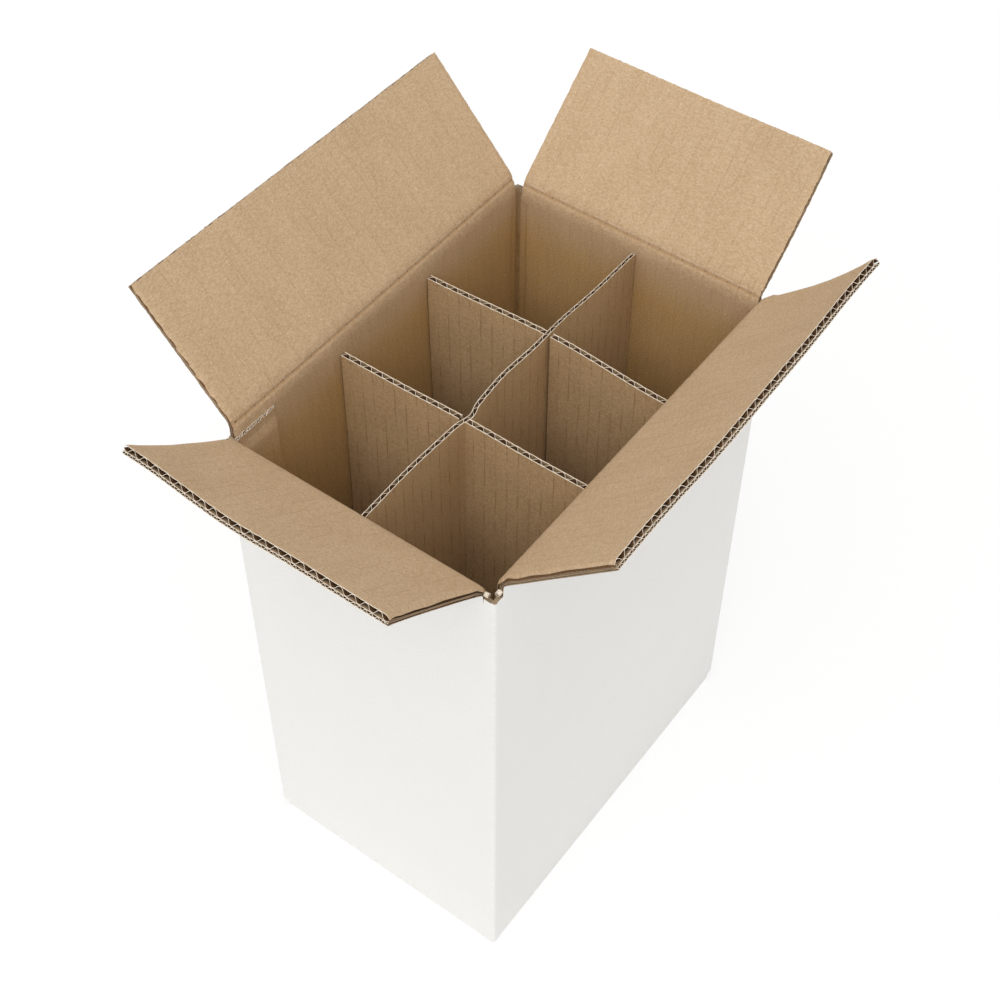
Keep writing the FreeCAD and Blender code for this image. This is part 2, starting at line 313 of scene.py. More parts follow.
class Graph:
    """The node tree of a material or of the world, built node by node."""

    def __init__(self, owner: bpy.types.ID, output: str = "OutputMaterial") -> None:
        """Start a tree that holds only its output.

        Args:
            owner: The new material or world.
            output: The output's type without its ShaderNode prefix.
        """
        owner.use_nodes = True
        self.owner = owner
        self.tree = owner.node_tree
        self.tree.nodes.clear()
        self.output = self.node(output)

    def node(self, kind: str, inputs: dict | None = None, **settings: object) -> bpy.types.Node:
        """Add a node, and set or link its inputs.

        Args:
            kind: The node's type without its ShaderNode prefix.
            inputs: A value or an output socket for each named or numbered input.
            **settings: Properties of the node itself.

        Returns:
            The new node.
        """
        made = self.tree.nodes.new(f"ShaderNode{kind}")
        for key, value in settings.items():
            setattr(made, key, value)
        for key, value in (inputs or {}).items():
            if isinstance(value, bpy.types.NodeSocket):
                self.tree.links.new(value, made.inputs[key])
            else:
                made.inputs[key].default_value = value
        return made

    def math(self, operation: str, *values: object, clamp: bool = False) -> bpy.types.NodeSocket:
        """Add a Math node and return its result."""
        made = self.node("Math", dict(enumerate(values)), operation=operation, use_clamp=clamp)
        return made.outputs[0]

    def mix(self, share: object, first: object, second: object) -> bpy.types.NodeSocket:
        """Return a mix of two colours, given as values or sockets, by the second one's share."""
        return self.node("Mix", {0: share, 6: first, 7: second}, data_type="RGBA").outputs[2]

    def shade(self, colour: object, marks: bpy.types.NodeSocket, strength: float,
              other: object) -> bpy.types.NodeSocket:
        """Return a colour with marks of another colour on it, at a strength up to 1."""
        return self.mix(self.math("MULTIPLY", marks, strength), colour, other)

    def show(self, shader: bpy.types.Node) -> None:
        """Link a shader to the tree's output."""
        self.tree.links.new(shader.outputs[0], self.output.inputs["Surface"])

    def board_place(self, stretch: tuple[float, float, float]) -> bpy.types.NodeSocket:
        """Return the board coordinates, each multiplied by its own number.

        Args:
            stretch: The numbers for s, u and t.

        Returns:
            The stretched coordinates' socket.
        """
        place = self.node("Attribute", attribute_name=PLACE)
        scaled = self.node("VectorMath", {0: place.outputs["Vector"], 1: stretch},
                           operation="MULTIPLY")
        return scaled.outputs[0]

    def noise(self, stretch: tuple[float, float, float], detail: float,
              rough: float = 0.6) -> bpy.types.NodeSocket:
        """Return smooth noise in board coordinates.

        Args:
            stretch: Waves per metre along s, u and t.
            detail: How many finer octaves are added.
            rough: How strong the finer octaves are.

        Returns:
            The noise, mostly between 0.3 and 0.7.
        """
        made = self.node("TexNoise", {"Vector": self.board_place(stretch), "Scale": 1.0,
                                      "Detail": detail, "Roughness": rough})
        return made.outputs["Fac"]

    def ramp(self, value: bpy.types.NodeSocket, low: float, high: float,
             start: float = 0.0, end: float = 1.0) -> bpy.types.NodeSocket:
        """Map a value from low and high onto start and end, smoothly and clamped."""
        made = self.node("MapRange", {0: value, 1: low, 2: high, 3: start, 4: end},
                         interpolation_type="SMOOTHSTEP")
        return made.outputs[0]

    def surface(self, colour: bpy.types.NodeSocket, height: bpy.types.NodeSocket,
                roughness: float, bump: float, reach: float) -> bpy.types.Material:
        """Finish the material as paper.

        Args:
            colour: The paper's colour.
            height: The height of its relief.
            roughness: How matt the paper is.
            bump: The strength of the relief.
            reach: The depth of the relief, in metres.

        Returns:
            The finished material.
        """
        relief = self.node("Bump", {"Height": height, "Strength": bump, "Distance": reach})
        self.show(self.node("BsdfPrincipled", {
            "Base Color": colour, "Roughness": roughness, "Specular IOR Level": 0.25,
            "Normal": relief.outputs[0]}))
        return self.owner


@dataclass(frozen=True)
class Mottle:
    """One layer of random marks in a paper."""

    stretch: tuple[float, float, float]
    detail: float
    rough: float
    low: float
    high: float
    strength: float

    def marks(self, graph: Graph) -> bpy.types.NodeSocket:
        """Return how much of a mark lies at each place."""
        return graph.ramp(graph.noise(self.stretch, self.detail, self.rough), self.low, self.high)


CLOUD = Mottle((48, 20, 40), 3, 0.6, 0.34, 0.68, 0.16)
FIBRE = Mottle((800, 1500, 900), 3, 0.75, 0.42, 0.60, 0.36)
GRAIN = Mottle((640, 1150, 700), 2, 0.6, 0.46, 0.62, 0.28)
SPECK = Mottle((800, 900, 800), 2, 0.5, 0.69, 0.75, 0.5)
FLECK = Mottle((620, 480, 600), 1, 0.4, 0.72, 0.77, 0.7)


@dataclass(frozen=True)
class WhiteLiner:
    """The smooth white outer face of the board."""

    name: str = "white_liner"
    colour: tuple[float, float, float, float] = linear(244, 243, 241)
    shade: tuple[float, float, float, float] = linear(236, 235, 232)
    roughness: float = 0.62

    def make(self) -> bpy.types.Material:
        """Make the material.

        Returns:
            White paper with soft clouds and a fine tooth.
        """
        graph = Graph(bpy.data.materials.new(self.name))
        cloud = graph.ramp(graph.noise((60, 34, 30), 3), 0.35, 0.68)
        tooth = graph.noise((900, 700, 700), 3)
        share = graph.math("ADD", graph.math("MULTIPLY", cloud, 0.10),
                           graph.math("MULTIPLY", graph.ramp(tooth, 0.42, 0.58), 0.42))
        colour = graph.mix(share, self.colour, self.shade)
        return graph.surface(colour, tooth, self.roughness, 0.25, 0.08 * MM)
@dataclass(frozen=True)
class KraftLiner:
    """Plain brown paper with fibres, specks and lines where the waved paper is glued."""

    name: str
    colour: tuple[float, float, float, float]
    # Painted shade: the darker, more saturated kraft that the inside of the walls takes further
    # below the crease.
    deep: tuple[float, float, float, float]
    dark: tuple[float, float, float, float]
    light: tuple[float, float, float, float]
    line_strength: float
    painted_shade_and_crease: bool
    pitch: float = LARGE_PITCH
    line_width: float = 0.62 * MM
    line_depth: float = 1.6
    roughness: float = 0.86

    def make(self) -> bpy.types.Material:
        """Make the material.

        Returns:
            Paper with clouds, fibres, grain, specks, flecks and glue lines; where creased, also
            painted shade that darkens the kraft down the inside of the walls, and a score line with
            painted shade and a painted highlight.
        """
        graph = Graph(bpy.data.materials.new(self.name))
        place = graph.node("SeparateXYZ", {0: graph.board_place((1.0, 1.0, 1.0))})
        colour = self.colour
        if self.painted_shade_and_crease:
            # Painted shade: mix towards the darker, more saturated kraft from 3 mm to 42 mm below
            # the crease, where the inside of the box lies in shade.
            depth = graph.ramp(place.outputs[1], -3 * MM, -42 * MM)
            colour = graph.mix(depth, self.colour, self.deep)
        fibre = FIBRE.marks(graph)
        colour = graph.shade(colour, CLOUD.marks(graph), CLOUD.strength, self.dark)
        colour = graph.shade(colour, fibre, FIBRE.strength, self.light)
        for mottle, shade in ((GRAIN, self.dark), (SPECK, self.dark), (FLECK, self.light)):
            colour = graph.shade(colour, mottle.marks(graph), mottle.strength, shade)
        line = self._lines(graph, place.outputs[0])
        colour = graph.shade(colour, line, self.line_strength, self.dark)
        if self.painted_shade_and_crease:
            # Painted shade in the score line and a painted highlight just above it.
            colour = self._crease(graph, place.outputs[1], colour)
        tooth = graph.math("SUBTRACT", fibre, graph.math("MULTIPLY", line, self.line_depth))
        return graph.surface(colour, tooth, self.roughness, 0.35, 0.12 * MM)

    def _crease(self, graph: Graph, along: bpy.types.NodeSocket,
                colour: bpy.types.NodeSocket) -> bpy.types.NodeSocket:
        """Darken the score line with painted shade, and lighten the paper just above it with a
        painted highlight that is partly frayed fibres.

        Args:
            graph: The material's node tree.
            along: The distance from the crease.
            colour: The paper's colour.

        Returns:
            The colour with the crease's painted shade and painted highlight on it.
        """
        def band(middle: float, width: float) -> bpy.types.NodeSocket:
            """Return 1 at a distance from the crease and 0 beyond the width."""
            offset = graph.math("ABSOLUTE", graph.math("SUBTRACT", along, middle))
            return graph.ramp(offset, 0.0, width, 1.0, 0.0)

        wear_and_highlight_noise = graph.ramp(graph.noise((260, 500, 300), 3), 0.34, 0.60)
        # Painted shade: the score line is darkened in the colour, where shade falls in the crease.
        scored = graph.math("MULTIPLY", band(0.1 * MM, 0.9 * MM), 0.55)
        colour = graph.mix(scored, colour, self.dark)
        # Painted highlight, partly frayed fibres: a lighter band just above the crease, where the
        # bend catches light.
        fray_and_highlight = graph.math("MULTIPLY", band(1.35 * MM, 0.5 * MM), wear_and_highlight_noise)
        return graph.shade(colour, fray_and_highlight, 0.7, self.light)

    def _lines(self, graph: Graph, across: bpy.types.NodeSocket) -> bpy.types.NodeSocket:
        """Return how much of a glue line lies at each place.

        Args:
            graph: The material's node tree.
            across: The distance across the flutes.

        Returns:
            1 on a line and 0 away from it, broken up along the line.
        """
        shaken = graph.math("MULTIPLY", graph.math("SUBTRACT", graph.noise((25, 30, 25), 2), 0.5),
                            1.2 * MM)
        across = graph.math("ADD", across, shaken)
        turns = graph.math("ADD", graph.math("DIVIDE", across, self.pitch), 0.5)
        offset = graph.math("ABSOLUTE", graph.math("SUBTRACT", graph.math("FRACT", turns), 0.5))
        away = graph.math("MULTIPLY", offset, self.pitch)
        near = graph.ramp(away, 0.0, self.line_width, 1.0, 0.0)
        broken = graph.ramp(graph.noise((130, 55, 60), 3), 0.38, 0.62)
        return graph.math("MULTIPLY", near, broken)


@dataclass(frozen=True)
class CutPaper:
    """The pale, fibrous cut edge of paper, or the plain face of a waved paper."""

    name: str
    colour: tuple[float, float, float, float]
    dark: tuple[float, float, float, float]
    roughness: float = 0.92

    def make(self) -> bpy.types.Material:
        """Return the material: colour and relief from one fine, fibrous noise."""
        graph = Graph(bpy.data.materials.new(self.name))
        fibre = graph.noise((900, 1300, 2400), 4, 0.7)
        colour = graph.mix(graph.ramp(fibre, 0.40, 0.68), self.colour, self.dark)
        return graph.surface(colour, fibre, self.roughness, 0.6, 0.12 * MM)


@dataclass(frozen=True)
class Palette:
    """The finishes of the carton and of the partition."""

    white: WhiteLiner = WhiteLiner()
    # The carton's kraft carries painted shade, darker deep down the walls' insides and in the score
    # line, and a painted highlight beside the crease.
    carton_kraft: KraftLiner = KraftLiner(
        "carton_kraft", linear(202, 173, 138), linear(197, 158, 95), linear(160, 125, 86),
        linear(230, 208, 178), 0.27, painted_shade_and_crease=True)
    divider_kraft: KraftLiner = KraftLiner(
        "divider_kraft", linear(198, 167, 124), linear(198, 167, 124), linear(138, 104, 70),
        linear(222, 202, 172), 0.62, painted_shade_and_crease=False)
    fluting: CutPaper = CutPaper("waved_paper", linear(122, 90, 60), linear(78, 52, 32))
    # Partly painted shade: the pressed edges are darker than the cut edges, for the shade on the
    # cut sides as well as their pressed fibres.
    pressed: CutPaper = CutPaper("pressed_and_shaded_edge", linear(176, 156, 130), linear(112, 91, 68))
    cut: CutPaper = CutPaper("cut_edge", linear(250, 240, 224), linear(222, 203, 178))

    def carton(self) -> dict[Finish, bpy.types.Material]:
        """Return the materials of the double-wall board."""
        return {
            Finish.WHITE: self.white.make(),
            Finish.KRAFT: self.carton_kraft.make(),
            Finish.FLUTING: self.fluting.make(),
            Finish.CUT: self.cut.make(),
            Finish.PRESSED: self.pressed.make(),
        }

    def partition(self, carton: dict[Finish, bpy.types.Material]) -> dict:
        """Return the materials of the single-wall board, which shares all but its liner."""
        return {**carton, Finish.KRAFT: self.divider_kraft.make()}


@dataclass(frozen=True)
class Paper:
    """One sheet in a board: flat if it has no wave height, otherwise waved between low and high."""

    low: float
    high: float
    finishes: tuple[Finish, Finish]
    pitch: float
    waved: bool = False
    washboard: float = 0.0
    step: float = 1.3 * MM

    def span(self, s: np.ndarray, thickness: float) -> tuple[np.ndarray, np.ndarray]:
        """Return the t of the sheet's two faces.

        Args:
            s: Where across the flutes, with a flute's crest at 0.
            thickness: The paper's thickness, for a waved sheet.

        Returns:
            The t of the face at the low side and of the face at the high side.
        """
        turn = 2 * math.pi * s / self.pitch
        if not self.waved:
            sag = self.washboard * (0.5 - 0.5 * np.cos(turn))
            return self.low - sag, self.high - sag
        flat = np.tanh(1.25 * np.cos(turn)) / math.tanh(1.25)
        rise = (self.high - self.low - thickness) / 2
        middle = (self.low + self.high) / 2 + rise * flat
        slope = np.gradient(middle, axis=0) / np.maximum(np.gradient(s, axis=0), 1e-9)
        half = thickness / 2 * np.minimum(np.sqrt(1 + slope**2), 1.6)
        return middle - half, middle + half


@dataclass(frozen=True)
class Board:
    """A corrugated board as a pile of papers, from its outer face inwards."""

    papers: tuple[Paper, ...]
    medium: float = 0.25 * MM

    @property
    def thickness(self) -> float:
        """Return the whole thickness of the board."""
        return self.papers[-1].high


def double_wall(thickness: float) -> Board:
    """Return the carton's board: small flutes under the white face and large ones inside.

    Args:
        thickness: The whole thickness of the board.

    Returns:
        The board.
    """
    liner, small, small_pitch, large_pitch = 0.3 * MM, 1.35 * MM, 3.5 * MM, LARGE_PITCH
    middle = liner + small
    kraft = (Finish.KRAFT, Finish.KRAFT)
    waved = (Finish.FLUTING, Finish.FLUTING)
    return Board(papers=(
        Paper(0.0, liner, (Finish.WHITE, Finish.KRAFT), small_pitch, step=5.0 * MM),
        Paper(liner, middle, waved, small_pitch, waved=True, step=0.42 * MM),
        Paper(middle, middle + liner, kraft, large_pitch, step=4.0 * MM),
        Paper(middle + liner, thickness - liner, waved, large_pitch, waved=True, step=0.6 * MM),
        Paper(thickness - liner, thickness, kraft, large_pitch, washboard=0.09 * MM),
    ))


def single_wall(thickness: float) -> Board:
    """Return the dividers' board: one row of large flutes between two kraft liners.

    Args:
        thickness: The whole thickness of the board.

    Returns:
        The board.
    """
    liner, pitch = 0.42 * MM, LARGE_PITCH
    kraft = (Finish.KRAFT, Finish.KRAFT)
    return Board(papers=(
        Paper(0.0, liner, kraft, pitch, washboard=-0.08 * MM),
        Paper(liner, thickness - liner, (Finish.FLUTING, Finish.FLUTING), pitch, waved=True,
              step=0.5 * MM),
        Paper(thickness - liner, thickness, kraft, pitch, washboard=0.08 * MM),
    ))


@dataclass(frozen=True)
class Crease:
    """The fold between a wall and its flap, read from the frame's joint."""

    flap: str
    origin: np.ndarray
    along: np.ndarray
    lean: float

    @classmethod
    def from_joint(cls, joint: dict) -> "Crease":
        """Read a crease from a joint of the frame."""
        return cls(
            flap=joint["child"],
            origin=np.array(joint["pos_m"], float),
            along=np.array(joint["axis"], float),
            lean=math.radians(-joint["range_deg"][0] - 90),
        )

    @property
    def outward(self) -> np.ndarray:
        """Return the level direction away from the box."""
        return np.cross(self.along, UP)

    @property
    def bisector(self) -> np.ndarray:
        """Return the direction halfway between the wall and the flap."""
        return math.sin(self.lean / 2) * self.outward + math.cos(self.lean / 2) * UP


@dataclass(frozen=True)
class Rim:
    """How one side cut of a flap was made: how flat it is pressed and how its edge runs."""

    pinch: float = 0.16
    reach: float = 2.2 * MM
    saw: float = 0.0
    saw_pitch: float = 2.1 * MM
    hollow: float = 0.0

    def cut_back(self, u: np.ndarray, depth: float, is_blunt: bool) -> np.ndarray:
        """Return how far the cut lies inside the flap's length.

        Args:
            u: The distance from the crease.
            depth: The flap's depth.
            is_blunt: Whether the paper ends at the teeth's roots, as the inner papers do.

        Returns:
            The distance that is cut off at each place.
        """
        teeth = self.saw if is_blunt else np.abs((u / self.saw_pitch) % 1 - 0.5) * 2 * self.saw
        share = np.clip(u / depth, 0, 1)
        return teeth + self.hollow * 4 * share * (1 - share)


@dataclass(frozen=True)
class Ringlet:
    """A torn paper that has rolled up at one end of a crease, placed from the crease's middle."""

    along: float
    out: float
    up: float
    radius: float = 1.9 * MM
    width: float = 2.4 * MM
    turns: float = 1.45
    paper: float = 0.3 * MM

    def add(self, draft: MeshDraft, crease: Crease) -> None:
        """Add the rolled paper to a flap.

        Args:
            draft: The flap's papers so far.
            crease: The flap's crease.
        """
        turning = np.linspace(0.4, self.turns * 2 * math.pi, 30)
        angle, across = np.meshgrid(turning, np.array([-0.5, 0.0, 0.5]) * self.width, indexing="ij")
        rolled = self.radius * (1 - 0.62 * angle / turning[-1])
        sides = []
        for radius in (rolled, rolled - self.paper):
            out = self.out + radius * np.cos(angle)
            up = self.up + radius * np.sin(angle) + 0.12 * across
            sides.append(crease.origin + (self.along + across)[..., None] * crease.along
                         + out[..., None] * crease.outward + up[..., None] * UP)
        place = np.stack([across, angle * self.radius, rolled], -1)
        draft.add_plate(sides[0], sides[1], (place, place),
                        (Finish.CUT, Finish.PRESSED, Finish.CUT))


@dataclass
class Flap:
    """One top flap with the strip of wall that bends with it."""

    crease: Crease
    half_length: float
    depth: float
    board: Board
    seed: int
    strip: float = STRIP
    bend: float = 2.6 * MM
    crush: float = 0.16
    crush_width: float = 3.4 * MM
    line: float = 0.16
    line_width: float = 0.7 * MM
    rims: tuple[Rim, Rim] = (Rim(), Rim())
    ragged: float = 0.28 * MM
    curl: float = 0.0
    sag: float = 0.0
    curl_end: int = 1
    short: float = 0.0
    ringlet: Ringlet | None = None

    def place(self, s: np.ndarray, u: np.ndarray, t: np.ndarray) -> np.ndarray:
        """Turn board coordinates into points of the frame.

        Args:
            s: Along the crease.
            u: From the crease, below 0 on the wall.
            t: From the board's white face inwards.

        Returns:
            The points, bent round the crease.
        """
        share = np.clip((u + self.bend) / (2 * self.bend), 0, 1)
        sine, cosine = math.sin(self.crease.lean), math.cos(self.crease.lean)
        tangent_out, tangent_up = share * sine, 1 - share + share * cosine
        size = np.hypot(tangent_out, tangent_up)
        tangent_out, tangent_up = tangent_out / size, tangent_up / size
        inside = self.bend * share**2
        out = np.where(u > self.bend, u * sine, inside * sine)
        up = np.where(u > self.bend, u * cosine, inside * cosine - self.bend * (1 - share) ** 2)
        up = np.where(u < -self.bend, u, up)
        height = t * self._squeeze(s, u) + self._curl(s, u) + self.gap
        out = out - height * tangent_up
        up = up + height * tangent_out
        origin = self.crease.origin
        return (origin + s[..., None] * self.crease.along + out[..., None] * self.crease.outward
                + up[..., None] * UP)

    @property
    def gap(self) -> float:
        """Return how far the white face lies inside the folding axis."""
        low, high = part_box("box_body")
        face = max(high @ Vector(self.crease.outward), low @ Vector(self.crease.outward))
        return float(self.crease.origin @ self.crease.outward - face)

    def _squeeze(self, s: np.ndarray, u: np.ndarray) -> np.ndarray:
        """Return the share of its thickness that the board keeps at each place.

        Args:
            s: Along the crease.
            u: From the crease.

        Returns:
            The share, below 1 where the board is scored, crushed or pressed.
        """
        pressed = 1 - self.crush * hump(u, self.crush_width)
        scored = 1 - self.line * hump(u - 0.4 * MM, self.line_width)
        rim = self.half_length - np.abs(s)
        pinched = np.ones_like(s)
        for side, cut in zip((s < 0, s >= 0), self.rims):
            pressing = cut.pinch * (1 + 0.3 * wander(u, 16 * MM, self.seed + 19))
            pressed_cut = 1 - pressing * np.clip(1 - rim / cut.reach, 0, 1) ** 2
            pinched = np.where(side, pressed_cut, pinched)
        tip = 1 - 0.05 * np.clip(1 - (self.depth - u) / (3 * MM), 0, 1) ** 2
        return pressed * scored * pinched * tip

    def _curl(self, s: np.ndarray, u: np.ndarray) -> np.ndarray:
        """Return how far the flap's free end lifts off its flat plane.

        Args:
            s: Along the crease.
            u: From the crease.

        Returns:
            The lift at each place.
        """
        along = smooth_step(self.curl_end * s, 0.0, self.half_length)
        reach = np.clip(u / self.depth, 0, 1)
        wave = 0.25 * MM * wander(s, 0.16, self.seed + 7) * reach**2
        return along * (self.curl * reach**2.5 - self.sag * 4 * reach * (1 - reach)) + wave

    def _grid(self, paper: Paper, number: int) -> tuple[np.ndarray, np.ndarray]:
        """Return the s and u of every point of one sheet, with ragged cuts.

        Args:
            paper: The sheet.
            number: Its place in the board, which picks its random line.

        Returns:
            Two grids of the same shape.
        """
        folds = COARSE_FOLD_ROWS if paper.waved else FOLD_ROWS
        stops = TIP_ROWS[1::2] if paper.waved else TIP_ROWS
        rows = [-self.strip, *(value * MM for value in (*folds, *CREASE_ROWS)),
                *(share * self.depth for share in DEPTH_SHARES),
                *(self.depth - value * MM for value in stops), self.depth]
        saw = max(self.rims, key=lambda cut: cut.saw)
        step = paper.step
        is_face = paper in (self.board.papers[0], self.board.papers[-1])
        if saw.saw and is_face:
            rows += list(np.arange(4.2 * MM, self.depth - 5.2 * MM, saw.saw_pitch / 2))
            step *= SAWN_STEP
        across = samples(-self.half_length, self.half_length, step)
        s, u = np.meshgrid(across, np.array(sorted(rows)), indexing="ij")
        seed = self.seed * 31 + number
        near_tip = smooth_step(u, self.depth - 3 * MM, self.depth)
        tear = wander(s, 9 * MM, seed) + 0.5 * wander(s, 2.4 * MM, seed + 1)
        u = u + near_tip * (self.ragged * 0.45 * tear - self.ragged)
        shorter = self.short * (0.5 + self.curl_end * s / self.half_length / 2)
        u = u - shorter * np.clip(u / self.depth, 0, 1)
        rim = self.half_length - np.abs(s)
        at_rim = np.clip(1 - rim / (1.5 * MM), 0, 1) * smooth_step(u, -self.strip, -self.strip / 2)
        tear = wander(u, 11 * MM, seed + 2) + 0.7 * wander(u, 3 * MM, seed + 3)
        inset = np.where(s < 0, *(cut.cut_back(u, self.depth, not is_face) for cut in self.rims))
        s = s - np.sign(s) * at_rim * (self.ragged * 0.4 * tear + self.ragged + inset)
        return s, u

    def build(self, materials: dict[Finish, bpy.types.Material]) -> bpy.types.Object:
        """Build the flap's papers as one mesh, bent at its crease, and hide the flap part that it
        replaces.

        Args:
            materials: The carton's materials.

        Returns:
            The flap's piece.
        """
        draft = MeshDraft()
        for number, paper in enumerate(self.board.papers):
            s, u = self._grid(paper, number)
            # Side cuts take the pressed edge finish, whose darker colour is partly painted shade.
            draft.add_sheet(self.place, (s, u), paper.span(s, self.board.medium),
                            (*paper.finishes, Finish.CUT, Finish.PRESSED))
        if self.ringlet:
            self.ringlet.add(draft, self.crease)
        piece = draft.build(f"{self.crease.flap}_board", materials)
        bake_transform(piece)
        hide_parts(self.crease.flap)
        return piece


def fix_to_root(piece: bpy.types.Object, node: str) -> bpy.types.Object:
    """Bind a piece that never moves, and hide the node that it replaces.

    Args:
        piece: The piece.
        node: The node that it replaces.

    Returns:
        The same piece.
    """
    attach(piece, "root")
    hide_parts(node)
    return piece


@dataclass
class Carton:
    """The folded sheet below the creases: four walls and the glued bottom."""

    creases: Sequence[Crease]
    flap_half: dict[str, float]
    board: Board
    slot_level: float
    corner_radius: float = 2.6 * MM
    bottom_radius: float = 1.4 * MM
    bead: float = 5.0 * MM
    low_post: float = 0.5 * MM
    seam: float = 0.2 * MM
    inner_round: float = 0.3 * MM
    band_width: float = 6.4 * MM
    band_crush: float = 0.8 * MM
    fold_crush: float = 1.7 * MM
    washboard: float = 0.09 * MM
    ragged: float = 0.5 * MM
    column_step: float = 1.3 * MM
    near_corner: tuple[float, ...] = (0.3, 0.9, 1.6, 2.2, 5.4, 5.9, 6.4, 6.9)
    wall_heights: tuple[float, ...] = (0.33, 0.26, 0.18, 0.1, 0.04)
    bottom_shares: tuple[float, ...] = (0.3, 0.65, 1.0)

    def __post_init__(self) -> None:
        """Read the outside of the box from the frame."""
        low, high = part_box("box_body")
        self.half = np.array([(high.x - low.x) / 2, (high.y - low.y) / 2])
        self.flap_reach = float(min(self.half)) - self.seam

    def _reach(self, direction: np.ndarray) -> float:
        """Return the half size of the box in a level direction."""
        return float(abs(direction[:2]) @ self.half)

    def _top(self, crease: Crease) -> float:
        """Return the height where a wall gives way to its flap's strip."""
        return float(crease.origin[2]) - STRIP

    def _columns(self, crease: Crease) -> tuple[np.ndarray, np.ndarray, np.ndarray]:
        """List the upright columns of one wall, with the corner after it.

        Args:
            crease: The crease at the top of the wall.

        Returns:
            Each column's s on the inner face, its s on the outer face, and how far it is
            round the following corner, from 0 to 1.
        """
        flap = self.flap_half[crease.flap]
        inner = self._reach(crease.along) - self.board.thickness
        edge = self._reach(crease.along) - self.corner_radius
        near = [side * (inner - step * MM) for step in self.near_corner for side in (-1, 1)]
        straight = samples(-inner, inner, self.column_step, (-flap, flap, *near))
        turns = np.arange(CORNER_TURNS + 1) / CORNER_TURNS
        return (np.append(straight, np.full(len(turns), inner)),
                np.append(straight, np.full(len(turns), edge)),
                np.append(np.zeros(len(straight)), turns))

    def _rows(self, is_long: bool) -> np.ndarray:
        """List the rows of a wall from its top to the middle of the bottom.

        Every wall has the same number of rows, so that they join into one grid.

        Args:
            is_long: Whether the wall folds into an outer bottom flap.

        Returns:
            For each row, its height on the outer face, its turn round the bottom fold from 0
            to 1, and how far it is along the bottom flap from 0 to 1.
        """
        thickness, radius = self.board.thickness, self.bottom_radius
        tops = sorted({self._top(crease) for crease in self.creases} | {self.slot_level})[::-1]
        heights = [*tops, *self.wall_heights, thickness + radius]
        if is_long:
            heights += [thickness, radius]
        base, turns = (radius, 6) if is_long else (thickness + radius, 8)
        rows = [(height, 0.0, 0.0) for height in heights]
        rows += [(base, turn / turns, 0.0) for turn in range(1, turns + 1)]
        return np.array(rows + [(base, 1.0, share) for share in self.bottom_shares]).T

    def _inner_outline(self, crease: Crease, s: np.ndarray, way_out: np.ndarray) -> np.ndarray:
        """Return the level outline of a wall's inner face, crushed beside the corners.

        Args:
            crease: The crease at the top of the wall.
            s: Where along the wall.
            way_out: The direction out of the box at each column, turning round the corner.

        Returns:
            One level point for each column.
        """
        inner = self._reach(crease.along) - self.board.thickness
        face = self._reach(crease.outward) - self.board.thickness
        near = inner - np.abs(s)
        outside = smooth_step(near, self.band_width - 1 * MM, self.band_width + 0.5 * MM)
        fold = smooth_step(near, 0.1 * MM, 1.3 * MM)
        crushed = self.band_crush * (1 - outside) + self.fold_crush * (1 - fold)
        ripple = self.washboard * (0.5 - 0.5 * np.cos(2 * math.pi * s / LARGE_PITCH)) * outside
        wall = s[:, None] * crease.along + (face + crushed + ripple)[:, None] * crease.outward
        deep = self.band_crush + self.fold_crush - self.inner_round
        corner = (inner + deep) * crease.along + (face + deep) * crease.outward
        return np.where((s >= inner - 1e-9)[:, None], corner + self.inner_round * way_out, wall)

    def _wall(self, crease: Crease, following: Crease) -> tuple[np.ndarray, ...]:
        """Work out the outer and inner grids of one wall and its corner.

        Args:
            crease: The crease at the top of the wall.
            following: The crease of the next wall.

        Returns:
            The outer points, the inner points, their board coordinates and the kept cells.
        """
        is_long = self._reach(crease.along) > self._reach(crease.outward)
        s_in, s_out, turn = self._columns(crease)
        height, fold, share = self._rows(is_long)
        thickness, radius, round_ = self.board.thickness, self.bottom_radius, self.inner_round
        in_flap = np.abs(s_in) <= self.flap_half[crease.flap] + CLOSE
        post = np.where(fold > 0, thickness, np.maximum(height, thickness))

        def stand(level: np.ndarray, inwards: np.ndarray, up: np.ndarray) -> np.ndarray:
            """Raise a level outline into rows, which fold inwards within the flap's span.

            Args:
                level: One level point for each column.
                inwards: How far each row lies inside the outline.
                up: The height of each row.

            Returns:
                The grid of points.
            """
            inwards = np.where(in_flap[:, None], inwards, 0)[..., None]
            up = np.where(in_flap[:, None], up, post)[..., None]
            return level[:, None] - inwards * crease.outward + up * UP

        angle, slope = turn[:, None] * math.pi / 2, fold * math.pi / 2
        way_out = np.cos(angle) * crease.outward + np.sin(angle) * following.outward
        face = self._reach(crease.outward) - self.corner_radius
        level = s_out[:, None] * crease.along + face * crease.outward + self.corner_radius * way_out
        inwards = radius * (1 - np.cos(slope)) + share * (self.flap_reach - radius)
        bulge = 0.0 if is_long else self.bead * np.sin(fold * math.pi)
        outer = stand(level, inwards, height - radius * np.sin(slope) - bulge)

        base = thickness if is_long else 2 * thickness
        inwards = round_ * (1 - np.cos(slope)) + share * (self.flap_reach - thickness - round_)
        up = np.where(fold > 0, base + round_ * (1 - np.sin(slope)),
                      np.maximum(height, base + round_))
        inner = stand(self._inner_outline(crease, s_in, way_out), inwards, up)

